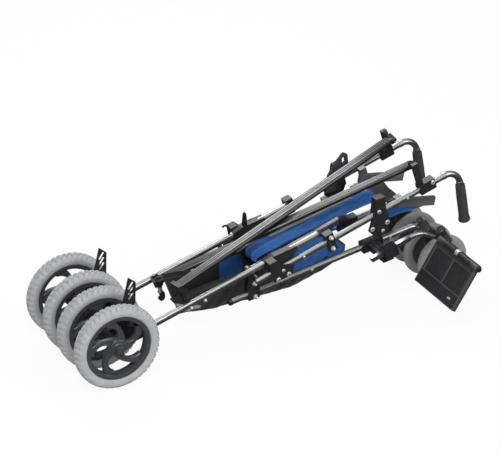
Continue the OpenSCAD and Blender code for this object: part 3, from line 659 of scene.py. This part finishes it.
def foot_block(s, y, half_s, half_y, low, high):
    """Small rounded block standing on the plate's face at length s and place y."""
    t = np.linspace(0, 2*np.pi, 24, endpoint=False)
    c, n = np.cos(t), np.sin(t)
    ring = np.stack([half_s*np.sign(c)*np.abs(c)**0.35, half_y*np.sign(n)*np.abs(n)**0.35], -1)
    rows = []
    for up, k in ((low, 0.0), (low, 1.0), (high-0.8, 1.0), (high, 0.88), (high, 0.0)):
        rows.append(barrel+(s+k*ring[:, :1])*plate_way+up*plate_face+(y+k*ring[:, 1:])*plate_across)
    return np.stack(rows)


plate_top = 10.8
foot_spots = ((122, -240), (152, -240), (122, -262), (152, -445), (122, -445))
feet = make_piece("footplate_feet", [(foot_block(s, y, 5.5, 5.5, plate_top, 14.2), False, True)
                                     for s, y in foot_spots])
settle(feet, black_nylon, "footplate")


# Rivets, nuts and washers: bright zinc-plated steel heads with a sunk middle, and domed nuts,
# pressed or screwed into the black fittings and along the tubes. Black discs paint the shade in the rivets'
# sunk middles and in the drilled holes along the tubes; a spring clip grips the footplate's roll, and
# charcoal caps close the wheel hubs.
zinc = speckled("bright_zinc", (0.74, 0.74, 0.73), (0.88, 0.88, 0.87), 500, (0.36, 0.50), 0.1, metal=0.75)


def dome_head(x, z, y, size, away):
    """Washer and low dome turned about Y with a sunk middle; away is the sign of Y that the head faces."""
    out = np.array([-1.2, 0.0, 0.0, 1.1, 1.3, 1.35, 1.6, 2.6, 3.3, 3.4, 2.4, 2.4])[:, None]
    rad = np.array([0.0, 0.0, 1.0, 1.0, 0.93, 0.80, 0.78, 0.66, 0.46, 0.38, 0.34, 0.0])[:, None]*size
    a = np.linspace(0, 2*np.pi, 28, endpoint=False)[None, :]
    return np.stack([x+rad*np.cos(a), y+away*out+0*a, z+rad*np.sin(a)], -1)


def acorn_nut(x, z, y, size, away):
    """Washer under a hexagon nut with a domed cap, turned about Y; away is the sign of Y that it faces."""
    out = np.array([-1.2, -1.2, 1.0, 1.2, 1.2, 5.2, 5.8, 8.6, 10.9, 12.4, 12.9])[:, None]
    rad = np.array([0.0, 1.0, 1.0, 0.94, 0.80, 0.80, 0.68, 0.62, 0.45, 0.20, 0.0])[:, None]*size
    a = np.linspace(0, 2*np.pi, 36, endpoint=False)[None, :]
    hexagon = np.cos(np.pi/6)/np.cos(np.mod(a, np.pi/3)-np.pi/6)
    rad = rad*np.where((out > 1.1) & (out < 5.5) & (rad < 0.9*size), hexagon, 1.0)
    return np.stack([x+rad*np.cos(a), y+away*out+0*a, z+rad*np.sin(a)], -1)


def shade_disc(x, z, y, size, away):
    """Low disc turned about Y: painted shade in a rivet's socket or a drilled hole."""
    out = np.array([-0.6, -0.6, 0.25, 0.3, 0.3])[:, None]
    rad = np.array([0.0, 1.0, 1.0, 0.9, 0.0])[:, None]*size
    a = np.linspace(0, 2*np.pi, 20, endpoint=False)[None, :]
    return np.stack([x+rad*np.cos(a), y+away*out+0*a, z+rad*np.sin(a)], -1)


leg_face, cane_face, front_face, hanger_face = 123.7, 151.7, 96.7, 212.7
below_leg, head_sink = 9.0, 0.1
heads = {
    "leg": [(600, 219, 160.4, 8.4), (638, 231, 160.4, 8.4), (618, 248.5, 159.6, 6.5)],
    "cane": [(976, 380, 159.8, 7.6), (1008, 334, 159.8, 8.6), (952, 320, 159.8, 8.6), (992, 306, 159.8, 6.6),
             (1180, 442.6, 160.6, 8.4)]+[(x, cane_z(x), cane_face-head_sink, 5.0) for x in (700, 1090)],
    "front": [(x, front_z(x), front_face-head_sink, 5.0) for x in (760, 1060)],
}
nuts = {
    "leg": [(x, leg_z(x)-below_leg, 118.0, 7.6) for x in (300, 350)],
    "cane": [(794, 326.9, 160.6, 8.4), (803, 285.9, 160.6, 8.4)],
    "front": [(540, 192, 104.6, 8.4), (544, 142, 104.6, 8.4)],
}
holes = {
    "leg": [(x, leg_z(x), leg_face, 3.4) for x in (410, 470)],
    "cane": [(x, cane_z(x), cane_face, 3.2) for x in (860, 890)],
    "front": [(x, front_z(x), front_face, r) for x, r in ((640, 3.6), (880, 3.4), (905, 3.4), (930, 3.4))],
    "hanger": [(x, hanger_z(x), hanger_face, 3.0) for x in (1012, 1036, 1060)],
}
socket_rise, socket_share = 2.4, 0.36
for side, sign in (("near", -1.0), ("far", 1.0)):
    for body, spots in heads.items():
        domes = [(dome_head(x, z, sign*y, r, sign), False, True) for x, z, y, r in spots]
        caps = [(acorn_nut(x, z, sign*y, r, sign), False, True) for x, z, y, r in nuts[body]]
        studs = make_piece("rivets_"+side+"_"+body, domes+caps)
        settle(studs, zinc, side+"_"+body)
    for body, spots in holes.items():
        # Painted shade: black discs in the rivets' sockets and on the drilled holes, where the inside falls
        # dark.
        sunk = [(x, z, y+socket_rise, r*socket_share) for x, z, y, r in heads.get(body, [])]
        hole_shades = [(shade_disc(x, z, sign*y, r, sign), False, True) for x, z, y, r in sunk+spots]
        settle(make_piece("painted_shade_"+side+"_"+body, hole_shades), black_nylon, side+"_"+body)

clip_turn = np.linspace(np.radians(60), np.radians(300), 26)[:, None]
clip_y = np.array([-352.0, -352.0, -334.0, -334.0])[None, :]
clip_r = np.array([13.2, 14.2, 14.2, 13.2])[None, :]
clip_ring = np.stack([barrel[0]+clip_r*np.cos(clip_turn+plate_turn), clip_y+0*clip_turn,
                      barrel[2]+clip_r*np.sin(clip_turn+plate_turn)], -1)
clip_ends = [np.broadcast_to(clip_ring[k].mean(0), (1, 4, 3)) for k in (0, -1)]
clip_ring = np.concatenate([clip_ends[0], clip_ring, clip_ends[1]])
clip_tab = foot_block(136.0, -418.0, 4.0, 8.0, plate_top, 12.6)
clip = make_piece("footplate_clip", [(clip_ring, False, True), (clip_tab, False, True)])
settle(clip, zinc, "footplate")

cap_line = [(0.01, 0.2), (13.2, 0.2), (13.4, 4.0), (12.6, 7.6), (10.0, 9.4), (6.0, 9.9), (0.01, 10.0)]
for side, body, y0, way in (("near_outer", "near_axle", -214.6, -1.0),
                            ("near_inner", "near_axle", -35.4, 1.0),
                            ("far_outer", "far_leg", 214.6, 1.0),
                            ("far_inner", "far_leg", 35.4, -1.0)):
    dome = turned([(r, way*d) for r, d in cap_line], (0.0, y0, AXLE_Z), 40)
    settle(make_piece("hub_cap_"+side, [(dome, True, False)]), charcoal, body)


# Tube ends: black push-in plugs, each a collar over the tube's lip and a domed top,
# where the rear legs, front legs and seat rails stop.
def plug_end(point, slope_deg, back, y, radius):
    """Collar and dome on a tube end in the side view; back turns it to face down the tube."""
    a = np.radians(slope_deg)+(np.pi if back else 0.0)
    length = np.array([-9.0, -9.0, -8.2, 0.0, 0.4, 3.0, 4.6, 5.2])
    rad = np.array([radius-0.5, radius+0.9, radius+1.2, radius+1.2, radius+0.9, radius-1.4, radius*0.55, 0.0])
    return lathe_on(np.array([point[0], y, point[1]]), (np.cos(a), np.sin(a)), length, rad, 40)


tube_r, rail_r = 11.0, 8.0
leg_y, front_y, rail_y = 113.0, 86.0, 60.0
leg_end, rail_end = (778, leg_z(778)), (884, rail_z(884))
for side, sign in (("near", -1.0), ("far", 1.0)):
    for body, name, patch in (
            ("_leg", "leg_plug_", plug_end(leg_end, LEG_TILT, False, sign*leg_y, tube_r)),
            ("_front", "front_plug_", plug_end(front_end, FRONT_TILT, True, sign*front_y, tube_r)),
            ("_seat", "rail_plug_", plug_end(rail_end, CANE_TILT, False, sign*rail_y, rail_r))):
        settle(make_piece(name+side, [(patch, False, True)]), black_nylon, side+body)


# Seat cloth: black polyester, hemmed and hung from the two seat rails. With the rails folded together
# it sags between them in a deep trough with slack creases; its rear corners carry grey patches.
def cloth_shell(mid, thick):
    """Closed sheet round a grid of middle points, half its thickness to each side along the grid's normal."""
    n = np.cross(np.gradient(mid, axis=0), np.gradient(mid, axis=1))
    n = n/np.maximum(np.linalg.norm(n, axis=-1, keepdims=True), 1e-9)
    up, low = mid+n*thick/2, mid-n*thick/2
    rim = [np.stack([up[:, j], low[:, j]], 1) for j in (0, -1)]
    rim += [np.stack([up[i], low[i]], 0) for i in (0, -1)]
    return [(g, False, False) for g in [up, low]+rim]


def woven(name, dark, light, threads, depth, sheen, stitch):
    """Plain weave on the piece's UV: crossed waves give bump and shade, and stitches run by the edges."""
    m, t, s, tc = new_finish(name)
    place = t.nodes.new("ShaderNodeMapping")
    place.inputs["Scale"].default_value = (threads[0], threads[1], 1)
    t.links.new(tc.outputs["UV"], place.inputs["Vector"])
    axes = t.nodes.new("ShaderNodeSeparateXYZ")
    t.links.new(place.outputs[0], axes.inputs[0])
    waves = [calc(t, "SINE", axes.outputs[axis]) for axis in ("X", "Y")]
    cross = calc(t, "MULTIPLY", *waves)
    shade = noise(t, tc.outputs["Object"], 16, 4.0, 0.6)
    fuzz = noise(t, tc.outputs["Object"], 900, 2.0, 0.6)
    colour = ramp(t, calc(t, "MULTIPLY_ADD", cross, 0.12, shade), 0.25, 0.75, dark, light)
    edge = t.nodes.new("ShaderNodeSeparateXYZ")
    t.links.new(tc.outputs["UV"], edge.inputs[0])
    by_edge = calc(t, "COMPARE", calc(t, "PINGPONG", edge.outputs["Y"], 0.5), 0.035, 0.006)
    dash = calc(t, "SINE", calc(t, "MULTIPLY", edge.outputs["X"], threads[0]*0.16))
    sewn_line = calc(t, "MULTIPLY", by_edge, calc(t, "GREATER_THAN", dash, -0.3))
    t.links.new(tint(t, sewn_line, colour, stitch), s.inputs["Base Color"])
    t.links.new(span(t, fuzz, 0.78, 0.95), s.inputs["Roughness"])
    s.inputs["Specular IOR Level"].default_value = 0.2
    s.inputs["Sheen Weight"].default_value = sheen
    s.inputs["Sheen Roughness"].default_value = 0.5
    first = raise_bump(t, s, cross, depth, 0.0005)
    raise_bump(t, s, fuzz, 0.2, 0.0004, first)
    return m


def table(x, pairs):
    """Straight-line values between (place, value) pairs."""
    xs, vs = zip(*pairs)
    return np.interp(x, xs, vs)


sling_low = [(262, 104), (312, 90), (420, 80), (590, 80), (742, 91), (836, 119), (920, 153)]
on_rail = [(x, rail_z(x)) for x in (575, 846)]+[(872, 262), (920, 214)]
near_top = [(262, 172), (300, 180), (340, 186), (420, 200), (480, 206), (545, 208)]+on_rail
far_top = [(262, 236), (320, 232), (360, 222), (400, 212), (480, 238), (545, 240)]+on_rail
front_wide = [(545, 42), (575, 50), (846, 50), (872, 42), (920, 36)]
near_wide = [(262, 34), (300, 36)]+front_wide
far_wide = [(262, 24), (330, 28), (400, 33)]+front_wide
sling_front = 919.5


def sling_point(x, v):
    """Trough: across v the width grows about as a root and the height about as a square, with creases."""
    a = np.abs(v)
    w = np.where(v < 0, table(x, near_wide), table(x, far_wide))
    z0 = table(x, sling_low)
    z1 = np.where(v < 0, table(x, near_top), table(x, far_top))
    waves = 2.6*np.sin(x/23.0+5*v)+1.7*np.sin(x/11.0-7*v+1.3)+1.2*np.sin(x/6.3+11*v)
    slack = np.sin(np.pi*a)*waves
    hang = 1.8*np.sin(x/41.0)*(1-a)
    y = np.sign(v)*(w*a**0.55-slack*0.8)
    return np.stack([x+0*v, y, z0+1.4+hang*0.5+(z1-z0-2.6)*a**2.1+slack*0.35*(1-a)], -1)


def rear_edge(v):
    """Rear edge of the cloth: furthest forward at the bottom of the trough, 50 mm behind it at the tops."""
    return 312.5-50.0*v*v


sling_u, sling_v = np.meshgrid(np.linspace(0, 1, 180), np.linspace(-1, 1, 81), indexing="ij")
sling_x = rear_edge(sling_v)+(sling_front-rear_edge(sling_v))*sling_u
sling_mid = sling_point(sling_x, sling_v)
black_cloth = woven("black_polyester", (0.008, 0.008, 0.009), (0.022, 0.022, 0.024), (4200, 2600), 0.35, 0.25,
                    (0.05, 0.05, 0.05))
sling = make_piece("seat_cloth", cloth_shell(sling_mid, 2.4), flat_angle=60)
sling.data.materials.append(black_cloth)
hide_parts("seat_sling")
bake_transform(sling)

patch_grey = woven("grey_patch", (0.30, 0.30, 0.29), (0.40, 0.395, 0.39), (380, 300), 0.5, 0.15,
                   (0.6, 0.6, 0.6))
seat_blue = woven("blue_seat_panel", (0.016, 0.088, 0.30), (0.030, 0.142, 0.45), (900, 420), 0.35, 0.16,
                  (0.10, 0.24, 0.55))
patch_low = 0.42
for name, finish, slot, x0, x1, low, high, away in (
        ("corner_patch_near", patch_grey, "grey_webbing", 264.0, 380.0, -0.80, -patch_low, -1.0),
        ("corner_patch_far", patch_grey, "grey_webbing", 264.0, 380.0, patch_low, 0.80, -1.0),
        ("seat_panel_near", seat_blue, "blue_cloth", 716.0, 914.0, -0.95, -0.58, -1.0),
        ("seat_panel_far", seat_blue, "blue_cloth", 716.0, 914.0, 0.58, 0.95, -1.0),
        ("side_pocket_far", seat_blue, "blue_cloth", 478.0, 570.0, 0.66, 0.97, 1.0)):
    px, pv = np.meshgrid(np.linspace(x0, x1, 60), np.linspace(low, high, 34), indexing="ij")
    if finish is patch_grey:
        skew = (px-x0)/(x1-x0)
        pv = np.sign(low)*(patch_low+(np.abs(pv)-patch_low)*(1-0.75*skew))
        px = rear_edge(pv)+1.5+(x1-rear_edge(pv)-1.5)*skew
    base = sling_point(px, pv)
    out = np.cross(np.gradient(base, axis=0), np.gradient(base, axis=1))
    out = out/np.linalg.norm(out, axis=-1, keepdims=True)
    out = out*np.sign(out[..., 2:3])
    sewn = make_piece(name, cloth_shell(base+away*out*2.2, 1.2), flat_angle=60)
    sewn.data.materials.append(finish)
    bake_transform(sewn)


# Back cloth: royal blue polyester, padded between two layers and doubled back under itself when folded.
# Its top hem, faced in black, reaches both stays.
panel_line = np.array([(1106, 366), (1060, 357), (1052, 356), (980, 344), (910, 330), (830, 312), (740, 288),
                       (660, 268), (610, 257), (584, 246), (578, 234), (590, 226), (640, 228), (710, 236),
                       (790, 254), (850, 276), (896, 298)], float)
panel_run = np.concatenate([[0], np.cumsum(np.hypot(*np.diff(panel_line, axis=0).T))])
panel_half = 40.0
hem_half = 96.4
panel_from, hem_to = 56, 58


def panel_place(s):
    """Side-view X and Z at length s along the strip."""
    return np.interp(s, panel_run, panel_line[:, 0]), np.interp(s, panel_run, panel_line[:, 1])


def panel_point(s, v, lift):
    """Doubled-back strip at length s and place v across, wide at the hem, with long soft creases."""
    px, pz = panel_place(s)
    step = 6.0
    ahead, behind = panel_place(s+step), panel_place(s-step)
    tx, tz = ahead[0]-behind[0], ahead[1]-behind[1]
    size = np.hypot(tx, tz)
    nx, nz = -tz/size, tx/size
    wide = np.interp(s, [0, 40, 62, 540, 580], [hem_half, hem_half, panel_half, panel_half, 34.0])
    calm = np.interp(s, [0, 50, 90], [0.15, 0.2, 1.0])
    waves = 3.0*np.sin(2*np.pi*v+s/70.0)+1.6*np.sin(s/26.0+4.5*v)+0.9*np.sin(s/11.0-6*v)
    soft = calm*(1-v*v)*waves
    crown = 2.2*calm*(1-v**4)
    return np.stack([px+nx*(soft+lift)-nx*crown, v*wide, pz+nz*(soft+lift)-nz*crown], -1)


panel_s, panel_v = np.meshgrid(np.linspace(panel_from, panel_run[-1], 200), np.linspace(-1, 1, 71),
                               indexing="ij")
panel_mid = panel_point(panel_s, panel_v, 0.0)
blue_cloth = woven("blue_polyester", (0.017, 0.092, 0.31), (0.031, 0.146, 0.46), (3200, 900), 0.35, 0.16,
                   (0.12, 0.26, 0.58))
panel = make_piece("back_cloth", cloth_shell(panel_mid, 3.0), flat_angle=60)
panel.data.materials.append(blue_cloth)
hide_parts("back_panel")
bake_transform(panel)
hem_s, hem_v = np.meshgrid(np.linspace(0, hem_to, 24), np.linspace(-1, 1, 71), indexing="ij")
hem = make_piece("back_hem", cloth_shell(panel_point(hem_s, hem_v, 0.6), 3.2), flat_angle=60)
hem.data.materials.append(black_cloth)
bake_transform(hem)


# Loose edge: the near side edge of the blue back cloth, sewn to the inner face of the near stay
# and hanging a little below it, slack and slightly waved.
flap_from, flap_to = 1032, 1222


def flap_point(x, u):
    """Ruled sheet from a line behind the stay (u = 0) down to the loose edge (u = 1), waved across."""
    high = np.interp(x, [flap_from, 1060, flap_to], [348, 362, 340])
    low = np.interp(x, [flap_from, 1095, flap_to], [304, 314, 324])
    wave = 1.3*u*np.sin(x/17.0)
    return np.stack([x, -94.4+1.5*u+wave, high+(low-high)*u], -1)


flap_x, flap_u = np.meshgrid(np.linspace(flap_from, flap_to, 70), np.linspace(0, 1, 18), indexing="ij")
flap_mid = flap_point(flap_x, flap_u)
flap = make_piece("back_flap", cloth_shell(flap_mid, 1.6), flat_angle=60)
settle(flap, blue_cloth, "near_cane")


# Binding: woven polypropylene tape sewn along the upper edges of the back cloth, blue on the near edge
# and grey on the far one.
binding = woven("grey_binding", (0.22, 0.215, 0.205), (0.33, 0.325, 0.31), (1100, 60), 0.6, 0.2,
                (0.55, 0.54, 0.52))
for side, finish, slot, low, high in (("near", blue_cloth, "blue_cloth", -0.99, -0.72),
                                      ("far", binding, "grey_webbing", 0.56, 0.99)):
    ts, tv = np.meshgrid(np.linspace(128, 450, 90), np.linspace(low, high, 14), indexing="ij")
    tape = make_piece("binding_"+side, cloth_shell(panel_point(ts, tv, -3.2), 1.4), flat_angle=60)
    tape.data.materials.append(finish)
    if side == "near":
        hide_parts("webbing")
    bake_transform(tape)


# Fold fittings: black forks and a bright link hung under the brace bars' lower ends, and a wire hook
# with a stop finger clipped on the far rear leg, all small pressings and bent rod.
def slab(outline, y0, y1):
    """Side-view outline with its corners cut three times, given a thickness along Y with eased edges."""
    q = np.asarray(outline, float)
    for _ in range(3):
        after = np.roll(q, -1, 0)
        q = np.stack([0.78*q+0.22*after, 0.22*q+0.78*after], 1).reshape(-1, 2)
    mid = q.mean(0)
    ease = 0.16*(y1-y0)
    rows = [(y0, 0.0), (y0, 0.94), (y0+ease, 1.0), (y1-ease, 1.0), (y1, 0.94), (y1, 0.0)]
    return np.stack([np.stack([mid[0]+k*(q[:, 0]-mid[0]), np.full(len(q), y), mid[1]+k*(q[:, 1]-mid[1])], -1)
                     for y, k in rows])


def bent_rod(points, radius, y):
    """Round rod along a smooth side-view line through points, closed and rounded at both ends."""
    q = np.asarray(points, float)
    run = np.concatenate([[0], np.cumsum(np.hypot(*np.diff(q, axis=0).T))])
    t = np.linspace(0, run[-1], 40)
    line = np.stack([np.interp(t, run, q[:, k]) for k in (0, 1)], -1)
    for _ in range(6):
        line[1:-1] = 0.25*line[:-2]+0.5*line[1:-1]+0.25*line[2:]
    way = np.gradient(line, axis=0)
    way = way/np.linalg.norm(way, axis=1, keepdims=True)
    a = np.linspace(0, 2*np.pi, 16, endpoint=False)
    past = np.clip((np.abs(np.linspace(-1, 1, 40))-0.94)/0.06, 0, 1)
    size = radius*np.sqrt(np.clip(1-past**2, 0, 1))
    ring_x = -way[:, 1:2]*np.cos(a)[None, :]*size[:, None]
    ring_z = way[:, 0:1]*np.cos(a)[None, :]*size[:, None]
    ring_y = np.sin(a)[None, :]*size[:, None]
    return np.stack([line[:, 0:1]+ring_x, y+ring_y, line[:, 1:2]+ring_z], -1)


fork_thick = 4.0
under_arm = [(252, 196), (280, 206), (290, 170), (268, 158)]
under_hook = [(268, 146), (296, 140), (298, 112), (284, 102), (270, 116), (282, 124)]
over_arm = [(268, 246), (296, 240), (310, 176), (296, 168), (280, 206)]
fork_under = [slab(under_arm, y, y+fork_thick) for y in (62.0, 84.0)]+[slab(under_hook, 70.0, 80.0)]
fork_over = [slab(over_arm, y, y+fork_thick) for y in (-100.0, -84.0)]
for name, body, slabs in (("fold_fork_under", "under_bar", fork_under),
                          ("fold_fork_over", "over_bar", fork_over)):
    fork = make_piece(name, [(g, False, True) for g in slabs], flat_angle=30)
    settle(fork, black_nylon, body)
link_r, wire_r = 4.0, 3.6
link_rods = [bent_rod([(270, 176), (272, 160), (278, 140)], link_r, 70.0),
             bent_rod([(284, 172), (286, 156), (288, 136)], link_r, 80.0)]
link = make_piece("fold_link_under", [(g, False, True) for g in link_rods])
settle(link, zinc, "under_bar")
wire_hook = bent_rod([(556, 258), (557, 288), (550, 303), (540, 307), (530, 302)], wire_r, leg_y)
stop_finger = slab([(604, 278), (624, 282), (620, 336), (613, 340), (609, 332)], leg_y-5.0, leg_y+5.0)
leg_hook = make_piece("leg_hook_far", [(wire_hook, False, True), (stop_finger, False, True)])
settle(leg_hook, black_nylon, "far_leg")
